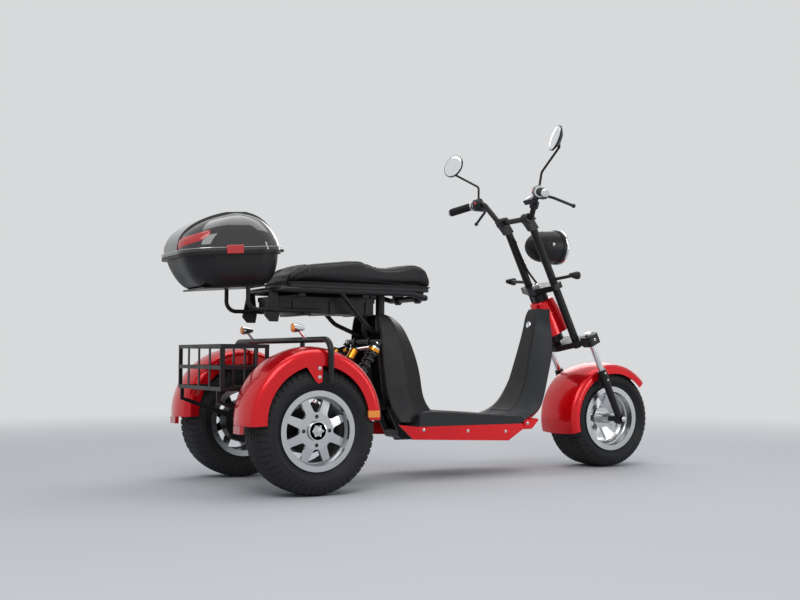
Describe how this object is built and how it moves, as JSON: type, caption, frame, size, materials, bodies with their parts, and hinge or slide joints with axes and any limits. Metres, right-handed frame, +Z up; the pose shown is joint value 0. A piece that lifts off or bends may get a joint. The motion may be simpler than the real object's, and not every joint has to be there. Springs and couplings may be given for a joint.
{
  "type": "electric tricycle",
  "caption": "Step-through electric tricycle with wide rear wheels under fenders, a fat front wheel in a raked fork, a long seat, a rear basket and a lidded top box.",
  "frame": {"origin": "on the ground under the middle of the vehicle's footprint box", "axes": "+X forward, +Y to the rider's left, +Z up"},
  "size_m": [2.2285, 0.9366, 1.4308],
  "materials": {
    "candy_red": "candy metallic red with a clear coat",
    "satin_black": "satin black powder coat",
    "strap_black": "gloss black coated straps",
    "grey_cast": "dark cast housing",
    "chrome_steel": "polished chrome",
    "spring_steel": "black enamelled spring",
    "amber_anodised": "amber anodised aluminium",
    "dark_plastic": "dark grey moulded plastic",
    "black_plastic": "matt black moulded plastic",
    "gloss_black": "gloss black moulded lid",
    "lamp_glass": "clear lamp glass",
    "rubber_black": "ribbed black rubber",
    "vinyl_black": "black grained vinyl, stitched",
    "tyre_rubber": "black tyre rubber",
    "alloy": "machined and painted alloy",
    "red_lens": "red reflector",
    "amber_lens": "amber reflector"
  },
  "bodies": {
    "chassis": {"main_frame": "satin_black", "seat_frame": "satin_black", "rear_axle": "satin_black", "motor_block": "grey_cast", "shock_bodies": "chrome_steel", "shock_springs": "spring_steel", "shock_reservoirs": "amber_anodised", "footboard": "dark_plastic", "skirt_panels": "candy_red", "leg_shield": "dark_plastic", "shield_panel": "black_plastic", "front_cowl": "candy_red", "tower_cover": "black_plastic", "battery_box": "black_plastic", "rear_fender_left": "candy_red", "rear_fender_right": "candy_red", "fender_hoop": "satin_black", "rear_reflectors": "red_lens", "side_reflectors": "amber_lens", "basket": "strap_black", "basket_stays": "strap_black", "rear_signals": "chrome_steel", "box_carrier": "satin_black", "top_box_base": "black_plastic"},
    "seat": {"seat_base": "dark_plastic", "seat_pad": "vinyl_black"},
    "box_lid": {"top_box_lid": "gloss_black"},
    "steering": {"fork_clamps": "satin_black", "riser_tubes": "satin_black", "stanchions": "chrome_steel", "fork_sliders": "satin_black", "front_fender": "candy_red", "headlight_bucket": "black_plastic", "headlight_lens": "lamp_glass", "handlebar": "satin_black", "grips": "rubber_black", "levers": "dark_plastic", "mirrors": "black_plastic", "front_signals": "black_plastic"},
    "front_wheel": {"front_tyre": "tyre_rubber", "front_rim": "alloy"},
    "rear_wheel_left": {"rear_tyre_left": "tyre_rubber", "rear_rim_left": "alloy"},
    "rear_wheel_right": {"rear_tyre_right": "tyre_rubber", "rear_rim_right": "alloy"}
  },
  "joints": [
    {"name": "steer", "type": "hinge", "parent": "chassis", "child": "steering", "pos_m": [0.59591, 0, 0.69], "axis": [-0.4305, 0, 0.9026], "range_deg": [-38, 38]},
    {"name": "front_wheel_spin", "type": "hinge", "parent": "steering", "child": "front_wheel", "pos_m": [0.888, 0, 0.217], "axis": [0, 1, 0], "continuous": true},
    {"name": "rear_wheel_left_spin", "type": "hinge", "parent": "chassis", "child": "rear_wheel_left", "pos_m": [-0.714, 0.348, 0.227], "axis": [0, 1, 0], "continuous": true},
    {"name": "rear_wheel_right_spin", "type": "hinge", "parent": "chassis", "child": "rear_wheel_right", "pos_m": [-0.714, -0.348, 0.227], "axis": [0, 1, 0], "continuous": true},
    {"name": "seat_lift", "type": "hinge", "parent": "chassis", "child": "seat", "pos_m": [-0.114, 0, 0.724], "axis": [0, 1, 0], "range_deg": [0, 60]},
    {"name": "box_lid_open", "type": "hinge", "parent": "chassis", "child": "box_lid", "pos_m": [-0.72, 0, 0.8863], "axis": [0, 1, 0], "range_deg": [0, 75]}
  ]
}
